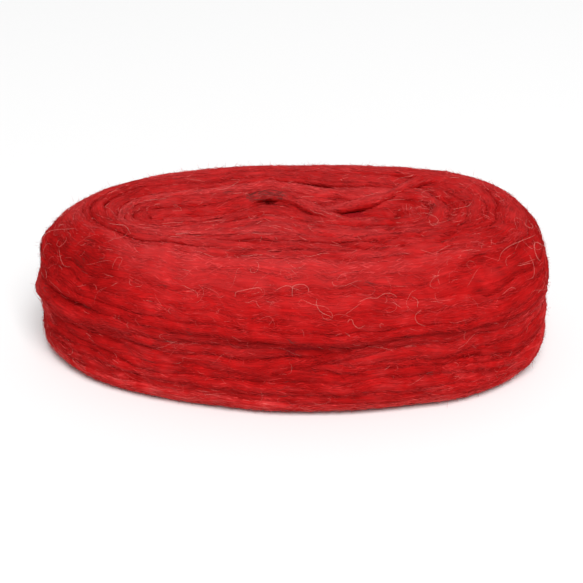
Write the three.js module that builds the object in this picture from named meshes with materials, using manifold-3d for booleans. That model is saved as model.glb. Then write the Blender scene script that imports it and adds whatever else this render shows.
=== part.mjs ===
// A plate of unspun wool: one soft strand wound flat and oval, its middle fallen shut to a slit.
// Millimetres. +X runs along the plate, +Y towards its back, +Z up from the flat underside.

import * as THREE from 'three';
import { mergeVertices } from 'three/addons/utils/BufferGeometryUtils.js';
import Module from 'manifold-3d';

// Driving dimensions of the wound form, before the ridges of the turns.
// rise: share by which the right end is higher, and the left end lower, than the middle
const PLATE = { halfLength: 107, halfDepth: 55.2, height: 68.4, rise: 0.015 };

// How square each end is in plan: 2 is an ellipse, more is blunter
const END_SQUARENESS = { left: 1.85, right: 2.42 };

// The fallen middle, around which the strand is wound. It lies in front of the plate's middle line and
// bends to the back at its one open hole.
// gap: half its width; bendSpread: reach of the bend along X, each way;
// lipReach, bendReach and hairpinReach: how far out its hole, its place and its narrow shape are felt,
// as shares of the reach
const SLIT = {
  x: -7, y: -7, halfLength: 50, gap: 0.7, bend: 12, bendSpread: 16,
  lipReach: 0.1, bendReach: 0.7, hairpinReach: 0.8,
};

// The hole lies behind the slit's front lip.
// gap and drop: how much wider and deeper than the slit it is; frontShare: share of the drop that the
// front lip takes; spread: its reach along X, each way
const HOLE = { x: -10, gap: 3, drop: 3.5, frontShare: 0.45, spread: 4 };

// The strand: its turns lie wider on the top than on the side.
// ridge: how far a turn stands out; fullness: less than 1 rounds its back more than a sine wave
const STRAND = { topPitch: 6.3, sidePitch: 4.8, ridge: 1.35, fullness: 0.8, crossingRadius: 2.5 };

// The first turns, down in the slit, and the last, on the floor, lie straight and smooth;
// beyond them the ridges rise over one turn, and straying grows over the fade
const STRAIGHT_TURNS = { slit: 1.5, floor: 2.5, fade: 2 };

// Mesh steps along one turn and points across one strand.
// The steps lie closer on the long sides, by this share, than at the ends
const STEPS_PER_TURN = 54;
const POINTS_ACROSS = 4;
const STEP_CROWDING = 0.35;

// Sides and step length of a crossing turn
const CROSSING_SIDES = 8;
const CROSSING_STEP = 4;

// Half section from the slit over the top, down the side and under.
// reach: share of the way from the slit to the plan outline; height: share of the plate's height
const SECTION = [
  { reach: 0, height: 0.95 },
  { reach: 0.012, height: 0.972 },
  { reach: 0.06, height: 0.987 },
  { reach: 0.24, height: 0.996 },
  { reach: 0.45, height: 1 },
  { reach: 0.6, height: 0.99 },
  { reach: 0.74, height: 0.95 },
  { reach: 0.857, height: 0.873 },
  { reach: 0.955, height: 0.76 },
  { reach: 1, height: 0.6 },
  { reach: 0.986, height: 0.475 },
  { reach: 0.997, height: 0.33 },
  { reach: 0.995, height: 0.16 },
  { reach: 0.946, height: 0.05 },
  { reach: 0.842, height: 0 },
  { reach: 0.72, height: 0 },
];

// Slow waves along the strand, which bunch, spread and swell the turns unevenly.
// perTurn: waves around the plate; perNext: radians from one turn to the next;
// shift: sideways, in turns; swell: share of the ridge height
const WAVES = [
  { perTurn: 1, perNext: 1.7, phase: 0.6, shift: 0.16, swell: 0.18 },
  { perTurn: 2, perNext: -2.3, phase: 2.1, shift: 0.12, swell: 0.22 },
  { perTurn: 3, perNext: 2.9, phase: 4.4, shift: 0.07, swell: 0.2 },
  { perTurn: 5, perNext: -1.3, phase: 1.2, shift: 0.04, swell: 0.25 },
];

// Places on the wall where turns stand proud or lie sunk, as lift in millimetres.
// angle: degrees round from +X; height: above the floor; spread and band: their reach each way
const WALL_LIFTS = [
  { angle: 182, height: 42, spread: 18, band: 6, lift: -1.6 },
  { angle: 184, height: 30, spread: 13, band: 3.4, lift: 3 },
  { angle: 206, height: 33, spread: 14, band: 6, lift: 2.4 },
  { angle: 224, height: 38.5, spread: 14, band: 4.5, lift: 1.4 },
  { angle: 183, height: 20, spread: 13, band: 4.5, lift: -2 },
  { angle: 185, height: 9, spread: 14, band: 4, lift: 1.2 },
  { angle: 248, height: 6, spread: 16, band: 6, lift: -1.6 },
  { angle: 292, height: 6, spread: 10, band: 6, lift: -1 },
  { angle: 271, height: 42.5, spread: 16, band: 4, lift: 0.9 },
  { angle: 271, height: 33.2, spread: 11, band: 3.4, lift: -2.3 },
  { angle: 230, height: 28, spread: 9, band: 2.5, lift: -1.6 },
  { angle: 243, height: 24, spread: 9, band: 2.5, lift: -1.5 },
  { angle: 262, height: 19.5, spread: 10, band: 2.5, lift: -1.4 },
  { angle: 300, height: 42, spread: 20, band: 5, lift: 1 },
  { angle: 60, height: 36, spread: 22, band: 4, lift: -1.6 },
  { angle: 110, height: 24, spread: 20, band: 4, lift: 1.3 },
  { angle: 327, height: 60, spread: 20, band: 2.6, lift: 1.3 },
  { angle: 327, height: 65.4, spread: 20, band: 1.6, lift: -0.7 },
];

// Places on the top where turns lie sunk beside the crossing turns.
// reachX and reachY: half their size; depth in millimetres
const DIPS = [
  { x: 24, y: -1.4, reachX: 8, reachY: 4.5, depth: 4 },
  { x: 41, y: -1.5, reachX: 6, reachY: 2.6, depth: 2.6 },
  { x: 42.5, y: -8, reachX: 2.8, reachY: 4, depth: 2.6 },
  { x: 53, y: 16, reachX: 5, reachY: 3.6, depth: 3.4 },
  { x: 38, y: 5.4, reachX: 9, reachY: 2, depth: 2 },
];

// The turns that cross above the slit and the hairpin at its right end, as the places that their middles
// pass through
const CROSSING_TURNS = [
  [
    { x: -27, y: 1.5, z: 62.7 },
    { x: -23, y: 3.4, z: 64.8 },
    { x: -19, y: 6, z: 66.6 },
    { x: -15, y: 8.4, z: 67.7 },
    { x: -10.1, y: 9.9, z: 68 },
    { x: -5.5, y: 9.3, z: 68.1 },
    { x: -0.9, y: 6.6, z: 68.1 },
    { x: 3.3, y: 3.7, z: 68.1 },
    { x: 8.2, y: -1, z: 68.1 },
    { x: 11.5, y: -4.4, z: 67.9 },
    { x: 16, y: -8.1, z: 67.4 },
    { x: 21.6, y: -11.4, z: 66.9 },
    { x: 26.9, y: -13, z: 66.4 },
    { x: 32.7, y: -13.8, z: 65.4 },
    { x: 38.1, y: -13.6, z: 63.8 },
    { x: 42, y: -13, z: 62 },
  ],
  [
    { x: 4, y: -5.4, z: 62.8 },
    { x: 9, y: -3.6, z: 65 },
    { x: 14, y: -1.9, z: 66.6 },
    { x: 19.8, y: -1.2, z: 67.6 },
    { x: 28.2, y: 1.3, z: 68.1 },
    { x: 36.7, y: 4.9, z: 68.4 },
    { x: 41, y: 7.9, z: 68.5 },
    { x: 45.4, y: 12.2, z: 68.7 },
    { x: 49.9, y: 16.4, z: 68.8 },
    { x: 54.3, y: 20.2, z: 68.7 },
    { x: 59.5, y: 22.6, z: 68.2 },
    { x: 65, y: 22, z: 67.4 },
    { x: 71, y: 19, z: 66.2 },
    { x: 77, y: 13, z: 64.4 },
    { x: 82, y: 4.5, z: 61.8 },
  ],
  [
    { x: 30, y: 0.6, z: 63 },
    { x: 34, y: 1.8, z: 65 },
    { x: 37.5, y: 2.4, z: 66.2 },
    { x: 42.5, y: 2.8, z: 66.7 },
    { x: 46.5, y: 0.3, z: 66.9 },
    { x: 48.6, y: -4.7, z: 66.9 },
    { x: 48.4, y: -12, z: 66.8 },
    { x: 45.9, y: -18.2, z: 66.6 },
    { x: 41.3, y: -21.9, z: 66.2 },
    { x: 35.4, y: -23, z: 65.2 },
    { x: 30, y: -23.4, z: 63.2 },
  ],
];

const FULL_TURN = 2 * Math.PI;
const { smoothstep, lerp, degToRad } = THREE.MathUtils;

// The section as a smooth curve, followed by its length
const sectionCurve = new THREE.CatmullRomCurve3(
  SECTION.map(({ reach, height }) =>
    new THREE.Vector3(reach * PLATE.halfDepth, 0, height * PLATE.height)),
  false, 'centripetal');
sectionCurve.arcLengthDivisions = 2000;
const sectionLength = sectionCurve.getLength();

// The first turn goes round the slit's floor. From there the pitch falls evenly along the section,
// so the length of section that is covered after some turns is an exponential
const pitchFall = (STRAND.topPitch - STRAND.sidePitch) / sectionLength;
const turnsInAll = 1 + Math.log(STRAND.topPitch / STRAND.sidePitch) / pitchFall;
function lengthAfter(turns) {
  return STRAND.topPitch / pitchFall * (1 - Math.exp(-pitchFall * Math.max(0, turns - 1)));
}

// How near the hole a place along X is, from 0 to 1
function nearHole(x, spread) {
  return Math.exp(-(((x - HOLE.x) / spread) ** 2));
}

// One ring of the winding in plan: a hairpin round the slit that grows into the plate's outline.
// straight runs along the slit and eases to a stop at its two ends
function ring(angle, reach) {
  const c = Math.cos(angle);
  const s = Math.sin(angle);
  const power = 2 / (c < 0 ? END_SQUARENESS.left : END_SQUARENESS.right);
  const nearSlit = 1 - smoothstep(reach, 0, SLIT.bendReach);
  const straight = nearSlit * SLIT.x + SLIT.halfLength * (1.5 * c - 0.5 * c ** 3);
  const gap = SLIT.gap + (s > 0 ? HOLE.gap * nearHole(straight, HOLE.spread) : 0);
  const width = nearSlit * gap + reach * PLATE.halfDepth;
  const hairpin = new THREE.Vector2(
    straight + width * c ** 3,
    width * Math.sign(s) * Math.sqrt(1 - c ** 6));
  const oval = new THREE.Vector2(
    lerp(straight, PLATE.halfLength * Math.sign(c) * Math.abs(c) ** power, reach),
    reach * PLATE.halfDepth * Math.sign(s) * Math.abs(s) ** power);
  const plan = hairpin.lerp(oval, smoothstep(reach, 0, SLIT.hairpinReach));
  plan.y += nearSlit * (SLIT.y + SLIT.bend * nearHole(straight, SLIT.bendSpread));
  return plan;
}

// A point of the wound form, by angle and by length along the section
function woundForm(angle, length) {
  const place = sectionCurve.getPointAt(THREE.MathUtils.clamp(length / sectionLength, 0, 1));
  const reach = place.x / PLATE.halfDepth;
  const plan = ring(angle, reach);
  const onTop = place.z > PLATE.height / 2;
  const openness = onTop ? 1 - smoothstep(reach, 0, SLIT.lipReach) : 0;
  const share = Math.sin(angle) > 0 ? 1 : HOLE.frontShare;
  const drop = openness * share * HOLE.drop * nearHole(plan.x, HOLE.spread);
  const rise = 1 + PLATE.rise * plan.x / PLATE.halfLength;
  return new THREE.Vector3(plan.x, plan.y, Math.max(0, place.z - drop) * rise);
}

// Outward direction of the wound form
function outward(angle, length) {
  const small = 0.01;
  const here = woundForm(angle, length);
  const along = woundForm(angle, length + small).sub(here);
  const around = woundForm(angle + small, length).sub(here);
  return along.cross(around).normalize();
}

// How freely a turn strays, from 0 to 1
function freedom(turn) {
  const { slit, floor, fade } = STRAIGHT_TURNS;
  return smoothstep(turn, slit, slit + fade) * smoothstep(turnsInAll - turn, floor, floor + fade);
}

function waveSum(column, angle, turn) {
  return WAVES.reduce((sum, wave) =>
    sum + wave[column] * Math.sin(wave.perTurn * angle + wave.perNext * turn + wave.phase), 0);
}

function wallLift(angle, height) {
  return WALL_LIFTS.reduce((sum, spot) => {
    const turned = angle - degToRad(spot.angle);
    const away = Math.atan2(Math.sin(turned), Math.cos(turned)) / degToRad(spot.spread);
    const above = (height - spot.height) / spot.band;
    return sum + spot.lift * Math.exp(-(away ** 2) - above ** 2);
  }, 0);
}

function dipAt({ x, y, z }) {
  if (z < PLATE.height / 2) return 0;
  return DIPS.reduce((sum, dip) =>
    sum + dip.depth * Math.exp(-(((x - dip.x) / dip.reachX) ** 2) - ((y - dip.y) / dip.reachY) ** 2), 0);
}

// A point of the strand's surface: angle round the plate, turns wound so far, share across the strand
function strandPoint(angle, turn, across) {
  const length = lengthAfter(turn + freedom(turn) * waveSum('shift', angle, turn));
  const point = woundForm(angle, length);
  const roundness = Math.sin(Math.PI * across) ** STRAND.fullness;
  const ridge = STRAND.ridge * roundness * (1 + waveSum('swell', angle, turn));
  const aboveFloor = smoothstep(point.z, 0, STRAND.sidePitch);
  const aboveSlit = smoothstep(turn, STRAIGHT_TURNS.slit, STRAIGHT_TURNS.slit + 1);
  const lift = aboveFloor * aboveSlit * (ridge + wallLift(angle, point.z) - dipAt(point));
  point.addScaledVector(outward(angle, length), lift);
  point.z = Math.max(0, point.z);
  return point;
}

// The winding: a spiral of strand rows, each row's far edge being the row one turn later
function windingGeometry() {
  const points = [];
  const ids = [];
  const rows = Math.floor((turnsInAll - 1) * STEPS_PER_TURN);
  for (let step = 0; step <= rows + STEPS_PER_TURN; step++) {
    const even = FULL_TURN * step / STEPS_PER_TURN;
    const angle = even + STEP_CROWDING / 2 * Math.sin(2 * even);
    const wound = angle / FULL_TURN;
    const pointsHere = step <= rows ? POINTS_ACROSS : 1;
    ids.push([]);
    for (let place = 0; place < pointsHere; place++) {
      const across = place / POINTS_ACROSS;
      ids[step].push(points.length);
      points.push(strandPoint(angle, wound + across, across));
    }
  }
  const id = (step, place) =>
    place < POINTS_ACROSS ? ids[step][place] : ids[step + STEPS_PER_TURN][0];

  const faces = [];
  for (let step = 0; step < rows; step++) {
    for (let place = 0; place < POINTS_ACROSS; place++) {
      const [a, b] = [id(step, place), id(step, place + 1)];
      const [d, c] = [id(step + 1, place), id(step + 1, place + 1)];
      faces.push([a, b, c], [a, c, d]);
    }
  }
  // The slit's floor and the underside are open loops, closed in plan
  const floorLoop = [];
  for (let step = 0; step < STEPS_PER_TURN; step++) floorLoop.push(id(step, 0));
  const underLoop = [];
  for (let step = rows; step <= rows + STEPS_PER_TURN; step++) underLoop.push(id(step, 0));
  for (let place = POINTS_ACROSS - 1; place > 0; place--) underLoop.push(id(rows, place));
  for (const [loop, facing] of [[floorLoop, 1], [underLoop, -1]]) {
    const contour = loop.map((index) => new THREE.Vector2(points[index].x, points[index].y));
    const turnsLeft = !THREE.ShapeUtils.isClockWise(contour);
    for (const [a, b, c] of THREE.ShapeUtils.triangulateShape(contour, [])) {
      const face = [loop[a], loop[b], loop[c]];
      faces.push(turnsLeft === facing > 0 ? face : face.reverse());
    }
  }
  const geometry = new THREE.BufferGeometry().setFromPoints(points);
  geometry.setIndex(faces.flat());
  return geometry;
}

// A round strand along a route
function strandAlong(route) {
  const path = new THREE.CatmullRomCurve3(route.map(({ x, y, z }) => new THREE.Vector3(x, y, z)));
  const rim = Array.from({ length: CROSSING_SIDES }, (_, side) => new THREE.Vector2(
    STRAND.crossingRadius * Math.cos(FULL_TURN * side / CROSSING_SIDES),
    STRAND.crossingRadius * Math.sin(FULL_TURN * side / CROSSING_SIDES)));
  return new THREE.ExtrudeGeometry(new THREE.Shape(rim), {
    steps: Math.round(path.getLength() / CROSSING_STEP),
    extrudePath: path,
  });
}

// Corners and faces of a geometry whose like corners are one, without the faces that this closes up
function cornersAndFaces(geometry) {
  geometry.deleteAttribute('normal');
  geometry.deleteAttribute('uv');
  const merged = mergeVertices(geometry, 1e-4);
  const faces = [];
  for (let at = 0; at < merged.index.count; at += 3) {
    const [a, b, c] = merged.index.array.slice(at, at + 3);
    if (a !== b && b !== c && c !== a) faces.push(a, b, c);
  }
  return { corners: Float32Array.from(merged.attributes.position.array), faces: Uint32Array.from(faces) };
}

// Joins the crossing turns to the winding
async function fuse(geometries) {
  const wasm = await Module();
  wasm.setup();
  const solids = geometries.map((geometry) => {
    const { corners, faces } = cornersAndFaces(geometry);
    return new wasm.Manifold(new wasm.Mesh({ numProp: 3, vertProperties: corners, triVerts: faces }));
  });
  const { vertProperties, triVerts } = solids.reduce((whole, solid) => whole.add(solid)).getMesh();
  const fused = new THREE.BufferGeometry();
  fused.setAttribute('position', new THREE.BufferAttribute(vertProperties, 3));
  fused.setIndex(new THREE.BufferAttribute(triVerts, 1));
  fused.computeVertexNormals();
  return fused;
}

const wool = new THREE.MeshStandardMaterial({ color: 0xb3161c, roughness: 0.95, metalness: 0 });
const winding = new THREE.Mesh(
  await fuse([windingGeometry(), ...CROSSING_TURNS.map(strandAlong)]), wool);
winding.name = 'wool_plate';

const part = new THREE.Group();
part.add(winding);

export default part;
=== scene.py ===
"""A plate of unspun red wool: the strand turn by turn, its fibres, its fuzz and its pale hairs."""

import math

import bpy
import numpy as np
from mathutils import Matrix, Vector


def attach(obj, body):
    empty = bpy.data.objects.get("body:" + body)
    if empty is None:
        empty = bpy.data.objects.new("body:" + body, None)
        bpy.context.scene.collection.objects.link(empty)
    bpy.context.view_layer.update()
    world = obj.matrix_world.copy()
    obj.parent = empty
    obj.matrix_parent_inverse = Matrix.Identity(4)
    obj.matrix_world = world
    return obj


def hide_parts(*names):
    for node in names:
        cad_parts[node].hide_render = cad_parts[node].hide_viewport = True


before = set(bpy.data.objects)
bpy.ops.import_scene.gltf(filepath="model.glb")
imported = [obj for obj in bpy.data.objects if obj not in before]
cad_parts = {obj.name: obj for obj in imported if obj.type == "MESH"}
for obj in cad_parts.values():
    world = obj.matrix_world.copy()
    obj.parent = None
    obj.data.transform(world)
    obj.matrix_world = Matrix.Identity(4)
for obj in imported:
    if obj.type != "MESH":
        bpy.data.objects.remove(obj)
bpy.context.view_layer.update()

NODE = "wool_plate"
BODY = "root"
MM = 0.001
TURN = 2 * math.pi
UP = np.array((0.0, 0.0, 1.0))
rng = np.random.default_rng(20)

# The wound form, as in the part's source, in millimetres
HALF_LENGTH, HALF_DEPTH, HEIGHT, RISE = 107, 55.2, 68.4, 0.015
SQUARENESS_LEFT, SQUARENESS_RIGHT = 1.85, 2.42
SLIT_X, SLIT_Y, SLIT_HALF_LENGTH, SLIT_GAP = -7, -7, 50, 0.7
SLIT_BEND, SLIT_BEND_SPREAD = 12, 16
LIP_REACH, BEND_REACH, HAIRPIN_REACH = 0.1, 0.7, 0.8
HOLE_X, HOLE_GAP, HOLE_DROP, HOLE_SPREAD = -10, 3, 3.5, 4
FRONT_LIP_DROP = 0.45
TOP_PITCH, SIDE_PITCH = 6.3, 4.8
# How far a turn stands out, less than in the part's source because fibres lie on it
RIDGE = 1.05

# Half section from the slit over the top, down the side and under: reach and height as shares
SECTION = np.array([
    (0, 0.95), (0.012, 0.972), (0.06, 0.987), (0.24, 0.996), (0.45, 1), (0.6, 0.99), (0.74, 0.95),
    (0.857, 0.873), (0.955, 0.76), (1, 0.6), (0.986, 0.475), (0.997, 0.33), (0.995, 0.16),
    (0.946, 0.05), (0.842, 0), (0.72, 0),
])
UNDERSIDE_REACH = 0.06

# Slow waves along the strand: waves per turn, radians to the next turn, phase, sideways shift, swell
WAVES = [
    (1, 1.7, 0.6, 0.16, 0.18),
    (2, -2.3, 2.1, 0.12, 0.22),
    (3, 2.9, 4.4, 0.07, 0.2),
    (5, -1.3, 1.2, 0.04, 0.25),
]
# That table's columns of shift and swell
WAVE_SHIFT, WAVE_SWELL = 3, 4

# Proud and sunk places on the wall: angle, height, spread in degrees, band, lift
WALL_LIFTS = [
    (182, 42, 18, 6, -1.6), (184, 30, 13, 3.4, 3), (206, 33, 14, 6, 2),
    (224, 38.5, 14, 4.5, 1.4), (183, 20, 13, 4.5, -2), (185, 9, 14, 4, 1.2),
    (248, 6, 16, 6, -1.6), (292, 6, 10, 6, -1), (271, 42.5, 16, 4, 0.9),
    (271, 33.2, 11, 3.4, -2.3), (230, 28, 9, 2.5, -1.6), (243, 24, 9, 2.5, -1.5),
    (262, 19.5, 10, 2.5, -1.4), (300, 42, 20, 5, 1), (60, 36, 22, 4, -1.6),
    (110, 24, 20, 4, 1.3), (327, 60, 20, 2.6, 1.3), (327, 65.4, 20, 1.6, -0.7),
]

# The turns that cross above the slit and the hairpin at its right end, as the places of their middles
CROSSING_TURNS = [
    [(-27, 1.5, 63.5), (-23, 3.4, 65.6), (-19, 6, 67.4), (-15, 8.4, 68.2), (-10.1, 9.9, 68.3),
     (-5.5, 9.3, 68.3), (-0.9, 6.6, 68.2), (3.3, 3.7, 68.1), (8.2, -1, 68.1), (11.5, -4.4, 68.1),
     (16, -8.1, 68.2), (21.6, -11.4, 67.7), (26.9, -13, 67.2), (32.7, -13.8, 66.2), (38.1, -13.6, 64.6),
     (42, -13, 62.8)],
    [(4, -5.4, 63.6), (9, -3.6, 65.8), (14, -1.9, 67.4), (19.8, -1.2, 68.4), (28.2, 1.3, 68.9),
     (36.7, 4.9, 69.2), (41, 7.9, 69.3), (45.4, 12.2, 69.5), (49.9, 16.4, 69.6), (54.3, 20.2, 69.5),
     (59.5, 22.6, 69), (65, 22, 68.2), (71, 19, 67), (77, 13, 65.2), (82, 4.5, 62.6)],
    [(30, 0.6, 63.8), (34, 1.8, 65.8), (37.5, 2.4, 67), (42.5, 2.8, 67.5), (46.5, 0.3, 67.7),
     (48.6, -4.7, 67.7), (48.4, -12, 67.6), (45.9, -18.2, 67.4), (41.3, -21.9, 67), (35.4, -23, 66),
     (30, -23.4, 64)],
]
# Their radius, shares of it across and up, how far they are sunk, and the step along them
CROSSING_RADIUS, CROSSING_WIDE, CROSSING_THICK = 2.3, 1.2, 0.85
CROSSING_SINK, CROSSING_STEP = 0.5, 1.6

# Dips beside the crossing turns: place, reach along X and Y, depth
DIPS = [
    (24, -1.4, 8, 4.5, 4),
    (41, -1.5, 6, 2.6, 2.6),
    (42.5, -8, 2.8, 4, 2.6),
    (53, 16, 5, 3.6, 3.4),
    (38, 5.4, 9, 2, 2),
]

# Turns that slip across their neighbours on the wall: start and end angle, start and end height, rise
SLIPPING_TURNS = [
    (150, 220, 27.5, 36, 4),
    (246, 296, 20, 34, 1.9),
    (196, 246, 42, 31, 2.5),
    (288, 344, 21, 14, 2),
    (318, 372, 46, 35, 1.3),
    (20, 80, 24, 36, 2.5),
    (70, 140, 48, 36, 2.5),
    (100, 148, 16, 25, 2.5),
]

# Creases between turns: start and end angle, start and end length along the section, depth, half width
CREASES = [
    (198, 221, 75, 72.6, 3.4, 2.4), (219, 241, 70.4, 71.6, 1.6, 1.1), (200, 209, 86.4, 88.8, 1.8, 1.5),
    (221, 232, 85.4, 87.4, 2.8, 1.4), (221, 231, 91.8, 95, 1.8, 1.2), (237, 249, 87.4, 89.3, 2.8, 1.3),
    (225, 237, 101, 102, 1.8, 1.2), (241, 248, 77.8, 79.4, 1.8, 1.2), (252, 265, 77.8, 73.8, 1.8, 1.1),
    (263, 279, 81.4, 80, 3.4, 1.7), (256, 271, 76.2, 75.4, 1.8, 1.4), (249, 273, 95.2, 95.2, 1.7, 1.1),
    (259, 269, 67.4, 65, 1.4, 1.1), (276, 282, 91, 92, 1.4, 1), (287, 298, 103.2, 102.4, 1.6, 1.1),
    (284, 291, 73.8, 75.8, 1.4, 1), (296, 314, 88, 88.4, 1.6, 1.6), (299, 307, 58.8, 58.3, 1.2, 1.1),
    (308, 323, 98.3, 99.3, 1.5, 1.2), (364, 344, 32.5, 40.5, 1.5, 1.4), (211, 225, 50, 52, 1.4, 1.7),
    (204, 213, 58.6, 61, 1.4, 1.7), (192, 202, 52.2, 50.2, 1.2, 1.7), (142, 121, 6.8, 12.6, 1.6, 1),
    (239, 253, 5.8, 5.2, 1.8, 1.1), (182, 154, 16.2, 12.7, 1.4, 1.2), (272, 283, 19.6, 27.5, 2.3, 1.3),
    (270, 284, 37, 41.6, 2, 1.3), (254, 268, 29.6, 32.6, 2, 1.2), (278, 292, 30, 37.6, 2.3, 1.3),
    (238, 256, 24.5, 25.5, 1.3, 1.2), (84, 69, 19.4, 16.6, 0.7, 1.6), (33, -10, 19, 21.6, 1.8, 1.2),
    (334, 305, 24.6, 37, 1.8, 1.2), (290, 311, 28.8, 28.4, 2, 1.3), (294, 307, 8.8, 22.8, 2, 1.1),
    (274, 284, 10, 16.8, 1.8, 1), (285, 299, 26.4, 37.2, 2, 1.1), (284, 301, 41.6, 40.8, 1.8, 1.1),
    (247, 263, 40, 36.4, 1.6, 1),
]


# Smooth steps, tables and curves

def smooth(x, low, high):
    t = np.clip((x - low) / (high - low), 0, 1)
    return t * t * (3 - 2 * t)


def unit(vectors):
    return vectors / np.maximum(np.linalg.norm(vectors, axis=-1, keepdims=True), 1e-9)


def smooth_curve(points, steps):
    """A centripetal Catmull-Rom curve through points, as a fine polyline."""
    p = np.vstack([2 * points[0] - points[1], points, 2 * points[-1] - points[-2]])
    gaps = np.linalg.norm(np.diff(p, axis=0), axis=1) ** 0.5
    t = np.linspace(0, 1, steps, endpoint=False)[:, None]
    pieces = []
    for k in range(1, len(p) - 2):
        before, here, after = gaps[k - 1:k + 2]
        chord = p[k + 1] - p[k]
        leave = ((p[k] - p[k - 1]) / before - (p[k + 1] - p[k - 1]) / (before + here)) * here + chord
        arrive = ((p[k + 2] - p[k + 1]) / after - (p[k + 2] - p[k]) / (here + after)) * here + chord
        square = 3 * chord - 2 * leave - arrive
        cube = leave + arrive - 2 * chord
        pieces.append(p[k] + leave * t + square * t ** 2 + cube * t ** 3)
    return np.vstack(pieces + [points[-1:]])


def lengths_along(points):
    return np.append(0, np.cumsum(np.linalg.norm(np.diff(points, axis=0), axis=1)))


def drift(count, width):
    """Smooth random values with a spread of 1, alike over about width places."""
    half = np.arange(-3 * width, 3 * width + 1)
    kernel = np.exp(-(half / width) ** 2)
    raw = rng.normal(size=count + len(half) - 1)
    return np.convolve(raw, kernel, mode="valid") / np.sqrt((kernel ** 2).sum())


def patches(size, count=30, spread=(0.6, 1.8)):
    """A field of smooth random values in space, with a spread of 1 and patches of about that size."""
    ways = unit(rng.normal(size=(count, 3))) * TURN / (2 * size * rng.uniform(*spread, (count, 1)))
    phases = rng.uniform(0, TURN, count)
    return lambda points: np.sin(points @ ways.T + phases).sum(-1) / math.sqrt(count / 2)


# The wound form

section = smooth_curve(SECTION * (HALF_DEPTH, HEIGHT), steps=60)
lengths_to_floor = lengths_along(section)
section_length = lengths_to_floor[-1]
section = np.vstack([section, (UNDERSIDE_REACH * HALF_DEPTH, 0)])
section_lengths = lengths_along(section)

pitch_fall = (TOP_PITCH - SIDE_PITCH) / section_length
turns_to_floor = 1 + math.log(TOP_PITCH / SIDE_PITCH) / pitch_fall
turns_in_all = turns_to_floor + (section_lengths[-1] - section_length) / SIDE_PITCH


def length_after(turns):
    """Length of section that is covered after some turns."""
    coil = np.clip(turns, 1, turns_to_floor) - 1
    above = TOP_PITCH / pitch_fall * (1 - np.exp(-pitch_fall * coil))
    return above + SIDE_PITCH * np.maximum(0, turns - turns_to_floor)


def near_hole(x, spread):
    return np.exp(-((x - HOLE_X) / spread) ** 2)


def ring(angle, reach):
    """One ring of the winding in plan: a hairpin round the slit that grows into the outline."""
    c, s = np.cos(angle), np.sin(angle)
    power = 2 / np.where(c < 0, SQUARENESS_LEFT, SQUARENESS_RIGHT)
    near_slit = 1 - smooth(reach, 0, BEND_REACH)
    straight = near_slit * SLIT_X + SLIT_HALF_LENGTH * (1.5 * c - 0.5 * c ** 3)
    gap = SLIT_GAP + HOLE_GAP * near_hole(straight, HOLE_SPREAD) * (s > 0)
    width = near_slit * gap + reach * HALF_DEPTH
    hairpin_x = straight + width * c ** 3
    hairpin_y = width * np.sign(s) * np.sqrt(1 - c ** 6)
    oval_x = straight + (HALF_LENGTH * np.sign(c) * np.abs(c) ** power - straight) * reach
    oval_y = reach * HALF_DEPTH * np.sign(s) * np.abs(s) ** power
    mix = smooth(reach, 0, HAIRPIN_REACH)
    x = hairpin_x + (oval_x - hairpin_x) * mix
    y = hairpin_y + (oval_y - hairpin_y) * mix
    return x, y + near_slit * (SLIT_Y + SLIT_BEND * near_hole(straight, SLIT_BEND_SPREAD))


def wound_form(angle, length):
    """Points of the wound form, by angle and by length along the section."""
    reach = np.interp(length, section_lengths, section[:, 0]) / HALF_DEPTH
    z = np.interp(length, section_lengths, section[:, 1])
    x, y = ring(angle, reach)
    openness = np.where(z > HEIGHT / 2, 1 - smooth(reach, 0, LIP_REACH), 0)
    openness = openness * np.where(np.sin(angle) > 0, 1, FRONT_LIP_DROP)
    z = np.maximum(0, z - openness * HOLE_DROP * near_hole(x, HOLE_SPREAD))
    return np.stack([x, y, z * (1 + RISE * x / HALF_LENGTH)], -1)


def outward(angle, length):
    small = 0.02
    here = wound_form(angle, length)
    along = wound_form(angle, length + small) - here
    around = wound_form(angle + small, length) - here
    return unit(np.cross(along, around))


def waves(column, angle, turn):
    return sum(w[column] * np.sin(w[0] * angle + w[1] * turn + w[2]) for w in WAVES)


def wall_lift(angle, height):
    total = np.zeros_like(height)
    for spot, level, spread, band, lift in WALL_LIFTS:
        turned = angle - math.radians(spot)
        away = np.arctan2(np.sin(turned), np.cos(turned)) / math.radians(spread)
        total += lift * np.exp(-away ** 2 - ((height - level) / band) ** 2)
    return total


def crest_at(angle, length, height):
    """Points at some height above the turns' crests, with the ways out."""
    base, out = wound_form(angle, length), outward(angle, length)
    proud = np.where(base[:, 2] < TOP_SHARE * HEIGHT, wall_lift(angle, base[:, 2]), 0)
    return base + (RIDGE + proud + height)[:, None] * out, out


def crease_line(first_angle, last_angle, first_length, last_length, points=60):
    """Points along the crest of the turns, where a crease runs."""
    share = np.linspace(0, 1, points)
    angle = np.radians(first_angle + (last_angle - first_angle) * share)
    length = first_length + (last_length - first_length) * share
    return wound_form(angle, length) + RIDGE * outward(angle, length)


crease_lines = [(crease_line(*row[:4]), *row[4:]) for row in CREASES]


def crease_depth(points, half_widths=3, least_fade=0.02):
    """How far each point is pressed in by the creases."""
    flat = points.reshape(-1, 3)
    total = np.zeros(len(flat))
    for line, depth, width in crease_lines:
        reach = half_widths * width
        near = np.flatnonzero(((flat > line.min(0) - reach) & (flat < line.max(0) + reach)).all(1))
        away = np.linalg.norm(flat[near, None] - line[None], axis=2)
        share = away.argmin(1) / (len(line) - 1)
        fade = np.sqrt(np.clip(4 * share * (1 - share), least_fade, 1))
        total[near] = np.maximum(total[near], depth * fade * np.exp(-(away.min(1) / width) ** 2))
    return total.reshape(points.shape[:-1])


# Strands: a middle line with a frame and two half widths

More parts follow.
